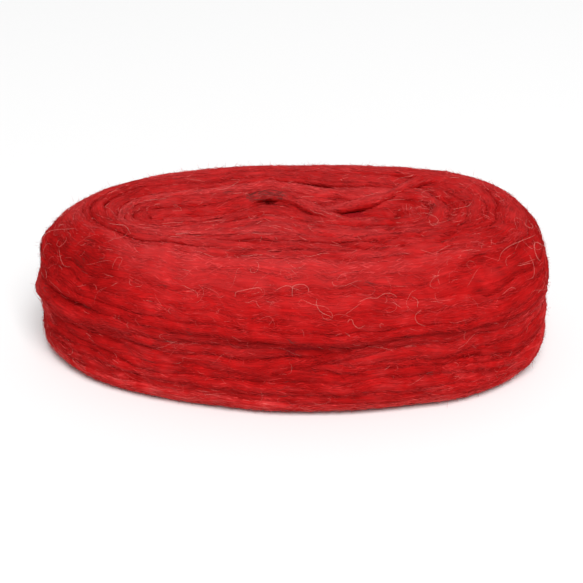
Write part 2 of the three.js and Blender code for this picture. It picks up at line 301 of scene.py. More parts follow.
# Steps in a turn, steps over which the tint is alike, its shares here and one turn on, its limit
STEPS_PER_TURN, TINT_STEPS, TINT_HERE, TINT_BESIDE, TINT_LIMIT = 140, 60, 0.88, 0.47, 1.4


class Strand:
    """A soft round strand: its middle, the way out of the plate, half widths across and out, and tint.

    The tint changes slowly along it, and is partly alike in neighbouring turns."""

    def __init__(self, middle, out, across_half, out_half):
        count = len(middle)
        self.middle = middle
        self.along = unit(np.gradient(middle, axis=0))
        self.out = unit(out - (out * self.along).sum(1, keepdims=True) * self.along)
        self.across = np.cross(self.along, self.out)
        self.across_half = across_half
        self.out_half = out_half
        tint = drift(count + STEPS_PER_TURN, TINT_STEPS)
        tint = TINT_HERE * tint[:count] + TINT_BESIDE * tint[STEPS_PER_TURN:]
        self.tint = TINT_LIMIT * np.tanh(tint / TINT_LIMIT)
        self.lengths = lengths_along(middle)

    def at(self, lengths):
        """Middle, along, out, across, half widths and tint at some lengths."""
        places = np.arange(len(self.lengths))
        where = np.interp(lengths, self.lengths, places)
        low = np.clip(where.astype(int), 0, len(places) - 2)
        part = where - low

        def between(rows):
            share = part.reshape(part.shape + (1,) * (rows.ndim - 1))
            return rows[low] + (rows[low + 1] - rows[low]) * share

        return [between(rows) for rows in (self.middle, self.along, self.out, self.across,
                                           self.across_half, self.out_half, self.tint)]


FLOOR_GAP = 0.3
# Turns at which the winding starts and, before its end, stops
FIRST_TURN, TURNS_LEFT_OUT = 1.0, 1.2
# Size of the patches that sway the turns sideways, and their sway
SWAY_SIZE, SWAY = 10, 0.75
LEAST_HALF_WIDTH, MOST_HALF_THICKNESS = 1.2, 2.4
# Unevenness: sizes, each with the steps over which it is alike
PLACE_DRIFT, CREST_DRIFT = ((0.1, 12), (0.03, 3)), ((0.3, 10), (0.1, 3))
WIDTH_DRIFT, THICKNESS_DRIFT = ((0.08, 9), (0.02, 3)), ((0.07, 7), (0.03, 3))
SHORT_DRIFT = ((0.08, 5),)
# How far a turn laps over its neighbours, by length along the section: top, shoulder, wall
OVERLAP = ((4, 10, 36, 44, 52, 62, 70, 90, 110), (1.3, 1, 1, 1.5, 1.75, 1.65, 1.4, 1.5, 1.5))
# How much more evenly turns stand on the shoulder, lap at the top's two ends, and narrow at the hole
SHOULDER_CALM, LEFT_LAP, RIGHT_LAP, PINCH = 0.6, 0.1, 0.26, 0.36


def lumps(count, drifts):
    """The sum of some drifts, each given by its size and its steps."""
    return sum(size * drift(count, steps) for size, steps in drifts)


def beside_crossing(points):
    x, y, z = points.T
    total = sum(depth * np.exp(-((x - at_x) / length) ** 2 - ((y - at_y) / width) ** 2)
                for at_x, at_y, length, width, depth in DIPS)
    return np.where(z > HEIGHT / 2, total, 0)


def wind_plate():
    """The one long strand, from the slit over the top, down the wall and under."""
    turn = np.arange(FIRST_TURN, turns_in_all - TURNS_LEFT_OUT, 1 / STEPS_PER_TURN)
    count = len(turn)
    angle = TURN * turn
    free = smooth(turn, 1.5, 3.5) * smooth(turns_to_floor - turn, 2.5, 4.5)
    sway = patches(SWAY_SIZE)

    def edge(t):
        straight = length_after(t + free * waves(WAVE_SHIFT, angle, t))
        return straight + SWAY * free * sway(wound_form(angle, straight))

    inner, outer = edge(turn), edge(turn + 1)
    half = np.linalg.norm(wound_form(angle, outer) - wound_form(angle, inner), axis=1) / 2
    half = np.maximum(half, LEAST_HALF_WIDTH)
    length = (inner + outer) / 2 + half * lumps(count, PLACE_DRIFT)
    base = wound_form(angle, length)
    x, z = base[:, 0], base[:, 2]
    out = outward(angle, length)
    uneven = 1 - SHOULDER_CALM * smooth(length, 38, 48) * (1 - smooth(length, 60, 68))
    swell = 1 + uneven * waves(WAVE_SWELL, angle, turn + 0.5)
    slow, fine = [size * drift(count, steps) for size, steps in CREST_DRIFT]
    crest = RIDGE * swell + wall_lift(angle, z) + uneven * slow + fine
    crest = smooth(z, 0, SIDE_PITCH) * crest - beside_crossing(base)
    at_end = LEFT_LAP * smooth(-x, 42, 66) + RIGHT_LAP * smooth(x, 42, 66)
    overlap = np.interp(length, *OVERLAP) * (1 + at_end * (1 - smooth(length, 34, 46)))
    pinch = PINCH * near_hole(x, HOLE_SPREAD) * (1 - smooth(length, 4, 9))
    across_half = overlap * half * (1 - pinch) * (1 + lumps(count, WIDTH_DRIFT))
    out_half = np.minimum(MOST_HALF_THICKNESS, half) * (1 + lumps(count, THICKNESS_DRIFT))
    middle = base + out * (crest - out_half)[:, None]
    middle[:, 2] = np.maximum(middle[:, 2], FLOOR_GAP + out_half / 2)
    return Strand(middle, out, across_half, out_half)


def cross_slit(route):
    """A turn that crosses above the slit."""
    line = smooth_curve(np.array(route, float), steps=40)
    lengths = lengths_along(line)
    even = np.arange(0, lengths[-1], CROSSING_STEP)
    middle = np.stack([np.interp(even, lengths, line[:, k]) for k in range(3)], -1)
    middle[:, 2] -= CROSSING_SINK
    count = len(middle)
    across_half = CROSSING_WIDE * CROSSING_RADIUS * (1 + lumps(count, SHORT_DRIFT))
    out_half = CROSSING_THICK * CROSSING_RADIUS * (1 + lumps(count, SHORT_DRIFT))
    return Strand(middle, UP, across_half, out_half)


def show_in_slit(height=65.3, fall=1.7, wide=2, thick=1.2, inside=4):
    """The turn beneath, which shows in the slit, ends inside it and falls a little at the hole."""
    reach = SLIT_HALF_LENGTH - inside
    x = np.arange(SLIT_X - reach, SLIT_X + reach, CROSSING_STEP)
    y = SLIT_Y + SLIT_BEND * near_hole(x, SLIT_BEND_SPREAD) + HOLE_GAP / 2 * near_hole(x, HOLE_SPREAD)
    z = height - fall * near_hole(x, HOLE_SPREAD)
    count = len(x)
    across_half = wide * (1 + lumps(count, SHORT_DRIFT))
    return Strand(np.stack([x, y, z], -1), UP, across_half, np.full(count, thick))


def slip_on_wall(start, end, low, high, rise, steps=70, wide=2.5, thick=1.9, sink=0.7, unevenness=0.2):
    """A turn that leaves its place on the wall, passes over its neighbours and sinks in again."""
    t = np.linspace(0, 1, steps)
    angle = np.radians(start + (end - start) * t)
    height = low + (high - low) * smooth(t, 0.1, 0.9)
    wall = (section[:, 1] < 0.8 * HEIGHT) & (section_lengths < section_length - 2 * SIDE_PITCH)
    length = np.interp(-height, -section[wall, 1], section_lengths[wall])
    out = outward(angle, length)
    proud = smooth(t, 0, 0.3) * smooth(1 - t, 0, 0.3)
    out_half = thick * (1 + lumps(steps, SHORT_DRIFT))
    crest = rise * proud - sink + unevenness * drift(steps, 6)
    middle = wound_form(angle, length) + out * (crest - out_half)[:, None]
    return Strand(middle, out, wide * (1 + lumps(steps, SHORT_DRIFT)), out_half)


# Shades of the wool: its own tones, with painted light and shade

# By tint, painted shade in the valleys between turns and in creases, and on fuzz; then how much more tint
# and painted valley shade on the top
TINT, VALLEY_SHADE, CREASE_SHADE, FUZZ_SHADE = 0.1, 0.09, 0.085, 0.03
TOP_TINT, TOP_VALLEY_SHADE = 0.02, 0.12

# Bands of height, mostly painted light and shade: where each begins and ends, then its change of tone and of
# veil
UNDER, ABOVE = (-20, -10), (98, 99)
TOP = ((46, 64), ABOVE)
SHOULDER = ((51, 57), (64, 67))
LOW = (UNDER, (12, 27))
# In turn: painted sheen on the top; a lighter shoulder with less veil; a lighter low wall as painted light
# from the floor; less sheen below the top; painted shade under the shoulder; a lighter bottom; a lighter top
PAINTED_LIGHT_BANDS = [
    (TOP, 0, 0.52),
    (SHOULDER, 0.03, -0.1),
    (LOW, 0.12, 0),
    (((34, 42), (46, 64)), 0, -0.16),
    (((34, 40), (48, 54)), -0.035, 0),
    ((UNDER, (4, 18)), 0.02, 0),
    (((64, 67), ABOVE), 0.02, 0),
]
# Where the two ends begin along X, their painted shade and veil, and the veil of the top's right
ENDS, END_SHADE, END_VEIL, TOP_RIGHT_VEIL = (72, 98), -0.04, -0.14, -0.12
# Veil, partly the fibres' own paleness and partly painted sheen: on the wall, for each shade (painted sheen
# on lighter crests and turns), in patches, and each fibre's own
WALL_VEIL, VEIL_LIMITS = 0.16, (0.02, 0.98)
SHADE_VEIL, TOP_SHADE_VEIL, SHOULDER_SHADE_VEIL = 1.6, 2.2, -1.6
VEIL_PATCHES, LOW_VEIL_PATCHES, VEIL_SPREAD, SHOULDER_VEIL_SPREAD = 0.05, 0.1, 0.18, -0.5
# Tone in patches, its spread low down and on the shoulder, and shares of pale fibres
TONE_PATCHES, LOW_SPREAD, SHOULDER_SPREAD = ((0.02, 9), (0.02, 4)), 1.2, -0.35
WALL_PALE, TOP_PALE = 0.4, 0.9
# Share of the height above which the top lies, and how far along X its lines reach
TOP_SHARE, TOP_LINE_REACH = 0.9, 60

# Paler and darker lines on the top, as painted highlights on turns' edges, painted shade beneath them and
# crevices lightened against their shade: route in X and Y, half width, change of tone, change of veil
TOP_LIGHT_AND_SHADE_LINES = [
    ([(-4, 1), (2, -2), (7, -5), (11, -8), (16, -12), (22, -15)], 1.7, 0.12, -0.1),
    ([(2, 4), (7, 1), (11, -3), (16, -8), (22, -12), (28, -13), (35, -13)], 1.2, 0.06, 0.3),
    ([(12, -3), (20, -1), (27, 2), (35, 5), (41, 10), (47, 15), (52, 20)], 1.9, 0.06, 0.35),
    ([(16, -5), (20, -7), (23, -7)], 2, -0.08, -0.3),
    ([(22, -4), (31, -2), (39, 2), (44, 6), (49, 11), (54, 14)], 1.8, 0.1, -0.1),
    ([(35, -7), (41, -7), (46, -6), (48, -8)], 1.2, -0.16, -0.3),
    ([(44, -10), (42, -13), (40, -17)], 1.2, -0.14, -0.2),
    ([(-15, 2), (-11, 3), (-8, 6), (-4, 9)], 1.8, -0.03, 0),
    ([(-16, 13), (-11, 15), (-5, 14), (0, 11), (6, 7)], 1.5, 0.03, 0.15),
    ([(20, 9), (25, 9)], 2, -0.1, -0.3),
]
top_light_and_shade_lines = [(smooth_curve(np.array(route, float), steps=8), *rest) for route, *rest in TOP_LIGHT_AND_SHADE_LINES]

# Broad darker and lighter places: place, reach, change of tone
BROAD_SHADES = [
    (-79, -26, 61, 12, -0.2), (-89, -14, 63, 12, -0.15), (-78, -36, 45, 12, -0.09),
    (-77, -36, 24, 6, -0.08), (-52, -14, 69, 16, 0.03), (-58, -46, 16, 8, 0.1),
    (-70, -42, 27, 7, 0.06), (-37, -30, 69, 8, 0.07), (-104, -9, 26, 9, 0.26),
    (-106, -6, 37, 7, 0.1), (106, -13, 30, 10, 0.22), (95, -32, 37, 8, 0.07),
    (105, -14, 15, 10, 0.14), (95, -32, 10, 12, 0.08), (58, -48, 9, 16, 0.06),
    (27, -56, 33, 8, 0.11), (7, -4, 68.5, 4, 0.08), (-10, -29, 69, 7, 0.05),
    (48, 5, 70, 5, -0.28), (60, -2, 69, 6, -0.06), (-65, 12, 69, 11, -0.08),
    (80, -22, 66, 14, -0.12), (83, -40, 32, 9, -0.06), (-8, -56, 46, 24, -0.04),
    (29, -53, 51, 10, -0.07), (-65, -38, 56, 14, -0.03), (56, -50, 29, 16, -0.03),
    (64, -34, 63, 13, -0.06),
]
# Change of veil that goes with a broad change of tone
BROAD_VEIL = 2


def shade_of(tint, turn, height, pressed):
    """Shade of a place on a strand: by the strand's tint, and painted shade that darkens the valleys and
    creases.
    """
    in_valley = smooth(np.abs(turn), 0.75, 1.4)
    return ((TINT + TOP_TINT * smooth(height, 61, 67)) * tint
            - (VALLEY_SHADE + TOP_VALLEY_SHADE * in_band(height, *TOP)) * in_valley - CREASE_SHADE * pressed)


def in_band(z, begin, end):
    return smooth(z, *begin) * (1 - smooth(z, *end))


def place_shades(points):
    """Changes of tone and of veil by place, much of them painted light and shade: ends, bands of height,
    lines on the top, and broad shades.
    """
    x, z = points[:, 0], points[:, 2]
    at_end = smooth(np.abs(x), *ENDS)
    # Painted shade: both ends darker from part way up the wall
    tone = END_SHADE * at_end * smooth(z, 30, 45)
    veil = END_VEIL * at_end + TOP_RIGHT_VEIL * in_band(z, *TOP) * smooth(x, 30, 60)
    for band, change, veil_change in PAINTED_LIGHT_BANDS:
        inside = in_band(z, *band)
        tone += change * inside
        veil += veil_change * inside
    top = np.flatnonzero((z > TOP_SHARE * HEIGHT) & (np.abs(x) < TOP_LINE_REACH))
    for line, width, change, veil_change in top_light_and_shade_lines:
        away = np.linalg.norm(points[top, None, :2] - line[None], axis=2).min(1)
        near = np.exp(-(away / width) ** 2)
        tone[top] += change * near
        veil[top] += veil_change * near
    for *place, reach, change in BROAD_SHADES:
        near = np.exp(-(((points - place) / reach) ** 2).sum(1))
        tone += change * near
        veil += BROAD_VEIL * change * near
    return tone, veil


def veils_and_sheen(points, shade, tone):
    """Veil of fibres, partly their own paleness and partly painted sheen: more on the top than on the wall,
    more on pale turns and crests, less on dark fibres.
    """
    top, shoulder, low = (in_band(points[:, 2], *band) for band in (TOP, SHOULDER, LOW))
    veil = WALL_VEIL + place_shades(points)[1]
    veil += (SHADE_VEIL + TOP_SHADE_VEIL * top + SHOULDER_SHADE_VEIL * shoulder) * shade
    veil += (VEIL_PATCHES + LOW_VEIL_PATCHES * low) * patches(4)(points)
    veil += VEIL_SPREAD * (1 + SHOULDER_VEIL_SPREAD * shoulder + low) * rng.normal(size=len(points))
    return np.clip(veil * smooth(tone, 0.25, 0.54), *VEIL_LIMITS)


def tones(points, mean, spread, pale):
    """Tones of fibres: lighter low down as painted light, in patches, each with its own difference, a few of
    them pale.
    """
    count = len(points)
    z = points[:, 2]
    tone = mean + place_shades(points)[0]
    tone += sum(size * patches(reach)(points) for size, reach in TONE_PATCHES)
    spread = spread * (1 + LOW_SPREAD * in_band(z, *LOW) + SHOULDER_SPREAD * in_band(z, *SHOULDER))
    tone += spread * rng.normal(size=count)
    is_pale = rng.random(count) < pale * (WALL_PALE + TOP_PALE * smooth(z, 44, 62))
    return np.where(is_pale, rng.uniform(0.85, 0.98, count), np.clip(tone, 0.06, 0.9))


# Meshes from arrays

def mesh_piece(name, points, corners, sizes, maps, material, normals=None):
    """A smooth mesh piece from points in millimetres, face corners and face sizes, with its maps."""
    mesh = bpy.data.meshes.new(name)
    mesh.vertices.add(len(points))
    mesh.vertices.foreach_set("co", (points * MM).astype(np.float32).ravel())
    mesh.loops.add(len(corners))
    mesh.loops.foreach_set("vertex_index", corners.astype(np.int32))
    mesh.polygons.add(len(sizes))
    starts = np.append(0, np.cumsum(sizes)[:-1])
    mesh.polygons.foreach_set("loop_start", starts.astype(np.int32))
    mesh.polygons.foreach_set("use_smooth", np.ones(len(sizes), bool))
    for label, places in maps.items():
        layer = mesh.uv_layers.new(name=label)
        layer.data.foreach_set("uv", places.astype(np.float32).ravel())
    mesh.update(calc_edges=True)
    mesh.validate()
    if normals is not None:
        mesh.normals_split_custom_set_from_vertices(normals.tolist())
    mesh.materials.append(material)
    piece = bpy.data.objects.new(name, mesh)
    bpy.context.collection.objects.link(piece)
    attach(piece, BODY)
    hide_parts(NODE)


BAKE_MAP, ALONG_MAP, SHADE_MAP = "OFBake", "along", "shade"
# Rows of a strand's bake map: length in millimetres, gap and edge
ROW_LENGTH, ROW_GAP, ROW_EDGE = 240, 8, 0.04
# Lobes round a strand: how many, their size, their swing and the steps over which that is alike
LOBES, LOBE_SIZE, LOBE_SWING, LOBE_STEPS = (3, 5), 0.045, 1.5, 12
# Relief of a strand's skin: heights and sizes of its patches
SKIN_RELIEF = ((0.15, 4), (0.1, 2))
# Tone of a strand's skin, and the shares of shade and veil that it takes
GROUND_TONE, GROUND_SHADE, GROUND_VEIL = 0.49, 0.5, 0.6


def tube_quads(rings, sides):
    """Corners of the faces of a tube, with the ring and the side at which each face starts."""
    ring, side = np.meshgrid(np.arange(rings - 1), np.arange(sides), indexing="ij")
    ring, side = ring.ravel(), side.ravel()
    here, there = ring * sides, (ring + 1) * sides
    following = (side + 1) % sides
    return np.stack([here + side, here + following, there + following, there + side], -1), ring, side


def strand_piece(name, strands, sides, material):
    """Strands as closed lumpy tubes, with maps along them, folded into rows, and of tone and veil."""
    points, corners, sizes, along_map, bake_map, shades = [], [], [], [], [], []
    first, first_row = 0, 0
    turn = TURN * np.arange(sides) / sides
    circle = np.stack([np.cos(turn), np.sin(turn)], -1)
    around = np.arctan2(circle[:, 1], circle[:, 0])
    for strand in strands:
        count = len(strand.middle)
        lobes = sum(LOBE_SIZE * np.cos(k * turn + LOBE_SWING * drift(count, LOBE_STEPS)[:, None])
                    for k in LOBES)
        out = circle[:, 0] * (1 + lobes) * strand.out_half[:, None]
        across = circle[:, 1] * (1 + lobes) * strand.across_half[:, None]
        skin = (strand.middle[:, None] + out[..., None] * strand.out[:, None]
                + across[..., None] * strand.across[:, None]).reshape(-1, 3)
        way = unit(skin - np.repeat(strand.middle, sides, axis=0))
        relief = sum(size * patches(reach)(skin) for size, reach in SKIN_RELIEF)
        skin += way * relief[:, None]
        pressed = crease_depth(skin)
        skin -= pressed[:, None] * np.repeat(strand.out, sides, axis=0)
        skin[:, 2] = np.maximum(skin[:, 2], FLOOR_GAP)
        points.append(skin)
        shades.append(shade_of(np.repeat(strand.tint, sides), np.tile(around, count), skin[:, 2], pressed))
        quads, step, side = tube_quads(count, sides)
        corners.append((quads + first).ravel())
        sizes.append(np.full(len(quads), 4))
        start, stop = strand.lengths[step], strand.lengths[step + 1]
        ends = np.stack([start, start, stop, stop], -1)
        rounds = np.stack([side, side + 1, side + 1, side], -1) / sides
        along_map.append(np.stack([ends / 100, rounds], -1).reshape(-1, 2))
        row = (start // ROW_LENGTH).astype(int)[:, None]
        u = (ends - row * ROW_LENGTH) / (ROW_LENGTH + ROW_GAP)
        v = first_row + row + ROW_EDGE + (1 - 2 * ROW_EDGE) * rounds
        bake_map.append(np.stack([u, v], -1).reshape(-1, 2))
        for ring_start, order in ((0, -1), ((count - 1) * sides, 1)):
            corners.append(first + ring_start + np.arange(sides)[::order])
            sizes.append([sides])
            along_map.append(0.5 + 0.01 * circle)
            bake_map.append((0.985, first_row + 0.5) + circle * (0.004, 0.3))
        first_row += int(strand.lengths[-1] // ROW_LENGTH) + 1
        first += count * sides
    bake = np.vstack(bake_map)
    bake[:, 1] /= first_row
    points, corners = np.vstack(points), np.concatenate(corners)
    shade = GROUND_SHADE * np.concatenate(shades)
    tone = tones(points, GROUND_TONE + shade, 0, 0)
    ground = np.stack([tone, GROUND_VEIL * veils_and_sheen(points, shade, tone)], -1)
    maps = {ALONG_MAP: np.vstack(along_map), BAKE_MAP: bake, SHADE_MAP: ground[corners]}
    mesh_piece(name, points, corners, np.concatenate(sizes), maps, material)


# Sides of a fibre, roundness of its normals, and the size of its place in the map
FIBRE_SIDES, ROUNDNESS, FIBRE_MAP_SIZE = 3, 0.5, 0.004


def fibre_piece(name, paths, outs, wide, thick, tone, veil, material):
    """Fibres or locks as closed tubes with pointed ends, flat to the surface below them.

    The map holds the tone, then the veil."""
    count, steps, _ = paths.shape
    sides = FIBRE_SIDES
    paths = paths.copy()
    paths[..., 2] = np.maximum(paths[..., 2], FLOOR_GAP)
    along = unit(np.gradient(paths, axis=1))
    side = unit(np.cross(along, outs))
    out = np.cross(side, along)
    taper = np.sin(np.pi * np.linspace(0.12, 0.88, steps)) ** 0.6
    turn = TURN * np.arange(sides) / sides + TURN / 4
    rim = (paths[:, :, None]
           + (wide[:, None] * taper)[..., None, None] * np.cos(turn)[:, None] * side[:, :, None]
           + (thick[:, None] * taper)[..., None, None] * np.sin(turn)[:, None] * out[:, :, None])
    points = np.concatenate([paths[:, :1], rim[:, 1:-1].reshape(count, -1, 3), paths[:, -1:]], 1)
    round_out = unit(rim - paths[:, :, None]) * ROUNDNESS + outs[:, :, None]
    normals = np.concatenate([outs[:, :1], round_out[:, 1:-1].reshape(count, -1, 3), outs[:, -1:]], 1)
    points[..., 2] = np.maximum(points[..., 2], FLOOR_GAP / 2)
    per_fibre = points.shape[1]
    faces, places = [], []
    share = np.linspace(0.05, 0.95, steps)
    share = np.concatenate([share[:1], np.repeat(share[1:-1], sides), share[-1:]])
    last = 1 + sides * (steps - 3)
    for k in range(sides):
        following = (k + 1) % sides
        strip = [[0, 1 + k, 1 + following]]
        for here in range(1, last, sides):
            there = here + sides
            strip.append([here + k, there + k, there + following, here + following])
        strip.append([last + k, per_fibre - 1, last + following])
        columns = (k, k, k + 1, k + 1)
        for face in strip:
            faces.append(face)
            places.append([(column / sides, share[corner]) for column, corner in zip(columns, face)])
    corners = np.concatenate(faces)[None] + per_fibre * np.arange(count)[:, None]
    sizes = np.tile([len(face) for face in faces], count)
    place = np.tile(np.concatenate(places)[None], (count, 1, 1))
    place = np.stack([tone, veil], -1)[:, None] + FIBRE_MAP_SIZE * (place - 0.5)
    mesh_piece(name, points.reshape(-1, 3), corners.ravel(), sizes,
               {BAKE_MAP: place.reshape(-1, 2)}, material, unit(normals.reshape(-1, 3)))


def hair_piece(name, paths, outs, radius, tone, veil, material):
    """Round hairs."""
    fibre_piece(name, paths, outs, radius, radius, tone, veil, material)


def core_piece(name, material, sides=96, step=3.0, inset=1.7, low=1.2):
    """The turns beneath, which show only as dark ground between the outer ones."""
    angles = np.linspace(0, TURN, sides, endpoint=False)
    lengths = np.arange(0, section_lengths[-1], step)
    length, angle = np.meshgrid(lengths, angles, indexing="ij")
    sunk = inset * smooth(length, 0, 6)
    skin = wound_form(angle, length) - sunk[..., None] * outward(angle, length)
    skin[..., 2] = np.maximum(skin[..., 2], low)
    rings = len(lengths)
    facing_out = [0, 3, 2, 1]
    quads = tube_quads(rings, sides)[0][:, facing_out]
    caps = [np.arange(sides), (rings - 1) * sides + np.arange(sides)[::-1]]
    corners = np.concatenate([quads.ravel()] + caps)
    sizes = np.concatenate([np.full(len(quads), 4), [sides, sides]])
    mesh_piece(name, skin.reshape(-1, 3), corners, sizes, {}, material)


# Materials

def add_node(nodes, kind, values=()):
    """A shader node of some kind, with values for its sockets."""
    node = nodes.new("ShaderNode" + kind)
    for socket, value in dict(values).items():
        node.inputs[socket].default_value = value
    return node


def map_node(nodes, label):
    node = nodes.new("ShaderNodeUVMap")
    node.uv_map = label
    return node


def join(source, output, target, socket):
    source.id_data.links.new(source.outputs[output], target.inputs[socket])


def shader(name):
    """A new rough material, with its nodes and its surface."""
    material = bpy.data.materials.new(name)
    material.use_nodes = True
    nodes = material.node_tree.nodes
    surface = nodes["Principled BSDF"]
    surface.inputs["Roughness"].default_value = 0.9
    return material, nodes, surface


def wool_shader(name, shine=0.02):
    material, nodes, surface = shader(name)
    surface.inputs["Specular IOR Level"].default_value = shine
    return material, nodes, surface


def colour_ramp(nodes, stops):
    ramp = nodes.new("ShaderNodeValToRGB")
    elements = ramp.color_ramp.elements
    while len(elements) < len(stops):
        elements.new(0.5)
    for element, (place, colour) in zip(elements, stops):
        element.position = place
        element.color = (*colour, 1)
    return ramp


RED_TONES = [
    (0.0, (0.13, 0.030, 0.024)),
    (0.15, (0.17, 0.004, 0.004)),
    (0.4, (0.33, 0.0045, 0.0048)),
    (0.65, (0.455, 0.008, 0.0085)),
    (0.85, (0.64, 0.032, 0.032)),
    (1.0, (0.70, 0.22, 0.19)),
]
# What a full veil adds to a fibre's colour: colourless, for pale fibres and for painted sheen
VEIL_COLOUR = (0.03, 0.03, 0.03, 1)


def add_veil(nodes, surface, ramp, split):
    """Gives the surface the ramp's colour, with as much veil added as the second split value says."""
    veil = nodes.new("ShaderNodeMix")
    veil.data_type = "RGBA"
    veil.blend_type = "ADD"
    veil.inputs["B"].default_value = VEIL_COLOUR
    join(ramp, "Color", veil, "A")
    join(split, "Y", veil, "Factor")
    join(veil, "Result", surface, "Base Color")


def strand_material():
    """Streaks that run along the strand, in colour and in relief, over the ground's own tone and veil."""
    material, nodes, surface = wool_shader("wool_strand")
    place = map_node(nodes, ALONG_MAP)
    spread = add_node(nodes, "Mapping", {"Scale": (11, 40, 1)})
    streaks = add_node(nodes, "TexNoise", {"Scale": 1, "Detail": 4, "Distortion": 0.7})
    streaks.noise_dimensions = "2D"
    where = add_node(nodes, "TexCoord")
    mottle = add_node(nodes, "TexNoise", {"Scale": 150, "Detail": 3})
    both = add_node(nodes, "Mix", {"Factor": 0.45})
    level = add_node(nodes, "MapRange", {"From Min": 0.3, "From Max": 0.7, "To Min": -0.24, "To Max": 0.24})
    shade = map_node(nodes, SHADE_MAP)
    split = add_node(nodes, "SeparateXYZ")
    tone = add_node(nodes, "Math")
    ramp = colour_ramp(nodes, RED_TONES)
    bump = add_node(nodes, "Bump", {"Strength": 0.8, "Distance": 0.0005})
    join(place, "UV", spread, "Vector")
    join(spread, "Vector", streaks, "Vector")
    join(where, "Object", mottle, "Vector")
    join(streaks, "Fac", both, 2)
    join(mottle, "Fac", both, 3)
    join(both, 0, level, "Value")
    join(shade, "UV", split, "Vector")
    join(split, "X", tone, 0)
    join(level, "Result", tone, 1)
    join(tone, "Value", ramp, "Fac")
    join(streaks, "Fac", bump, "Height")
    join(bump, "Normal", surface, "Normal")
    add_veil(nodes, surface, ramp, split)
    return material


def fibre_material(name, stops):
    """Each fibre's tone is the first value of its map, and its pale veil the second."""
    material, nodes, surface = wool_shader(name)
    place = map_node(nodes, BAKE_MAP)
    split = add_node(nodes, "SeparateXYZ")
    ramp = colour_ramp(nodes, stops)
    join(place, "UV", split, "Vector")
    join(split, "X", ramp, "Fac")
    add_veil(nodes, surface, ramp, split)
    return material


def mottled(nodes, surface, scale, stops):
    """Gives the surface a mottle of a few colours."""
    noise = add_node(nodes, "TexNoise", {"Scale": scale})
    ramp = colour_ramp(nodes, stops)
    join(noise, "Fac", ramp, "Fac")
    join(ramp, "Color", surface, "Base Color")


def core_painted_shade_material():
    material, nodes, surface = wool_shader("wool_core")
    # The turns beneath are the same wool, but a darker red than the outer turns: painted shade for the gaps
    # where they show
    mottled(nodes, surface, 300, [(0.3, (0.16, 0.004, 0.006)), (0.7, (0.34, 0.009, 0.012))])
    return material


# Fibres on the strands

# How far fibres lean round a strand, their crimp in millimetres, and the share of them with a loose end
FIBRE_LEAN, CRIMP, LOOSE_SHARE = 0.32, 0.28, 0.15
# Most turn of fuzz round a strand, and its least and most size
FUZZ_TURN, FUZZ_LEAST, FUZZ_MOST = 1.2, 0.5, 3
# Shares of its bend and climb that a wandering hair keeps at each step, and its least radius round the plate
BEND_KEPT, BEND_NEW, CLIMB_KEPT, CLIMB_SPREAD, LEAST_RADIUS = 0.86, 0.5, 0.8, 0.05, 8


def lying_fibres(strand, start, turn, size, points, loft):
    """Paths of crimped fibres that hug a strand, wander round it and lift a little.

    With them come their ways out and their shade: by the strand's tint, and painted shade that darkens the
    valleys."""
    count = len(start)
    share = np.linspace(0, 1, points)[None]
    where = np.clip(start[:, None] + size[:, None] * (share - 0.5), 0, strand.lengths[-1])
    middle, _, out, across, across_half, out_half, tint = strand.at(where)
    lean = rng.normal(0, FIBRE_LEAN, (count, 1)) * size[:, None] / across_half * (share - 0.5)
    crimps = rng.uniform(0.8, 2.2, (count, 1))
    crimp = CRIMP / across_half * np.sin(TURN * (share * crimps + rng.random((count, 1))))
    turn = turn[:, None] + lean + crimp
    rise = loft * rng.random((count, 1)) * np.sin(np.pi * share) ** 2
    is_loose = rng.random((count, 1)) < LOOSE_SHARE
    rise = rise + is_loose * rng.uniform(0.2, 1.0, (count, 1)) * share ** 3
    paths = (middle + ((out_half + rise) * np.cos(turn))[..., None] * out
             + ((across_half + rise) * np.sin(turn))[..., None] * across)
    outs = (across_half * np.cos(turn))[..., None] * out + (out_half * np.sin(turn))[..., None] * across
    pressed = crease_depth(paths)
    paths = paths - pressed[..., None] * out
    here = points // 2
    shade = shade_of(tint[:, here], turn[:, here], middle[:, here, 2], pressed[:, here])
    return paths, unit(outs), shade


def stray(count, spread, limit):
    return np.clip(spread * rng.normal(size=(count, 3)), -limit, limit)


def fuzz_fibres(strand, start, points):
    """Short ends that stand out of a strand, with their ways out and their shade."""
    count = len(start)
    middle, along, out, across, across_half, out_half, tint = strand.at(start)
    turn = rng.uniform(-FUZZ_TURN, FUZZ_TURN, count)
    root = middle + (out_half * np.cos(turn))[:, None] * out + (across_half * np.sin(turn))[:, None] * across
    root = root - crease_depth(root)[:, None] * out
    away = unit(np.cos(turn)[:, None] * out + np.sin(turn)[:, None] * across)
    size = np.minimum(rng.gamma(shape=2, scale=0.4, size=count) + FUZZ_LEAST, FUZZ_MOST)
    pitch = rng.uniform(0.1, 1.2, count)
    ahead = along * rng.choice([-1, 1], count)[:, None]
    direction = np.cos(pitch)[:, None] * ahead + np.sin(pitch)[:, None] * away
    direction = direction + stray(count, spread=0.18, limit=0.5)
    curl = stray(count, spread=0.25, limit=0.6)
    share = np.linspace(0, 1, points)[None, :, None]
    paths = root[:, None] + size[:, None, None] * (share * direction[:, None] + share ** 2 * curl[:, None])
    shade = shade_of(tint, turn, middle[:, 2], 0) - FUZZ_SHADE
    return paths, np.repeat(away[:, None], points, 1), shade


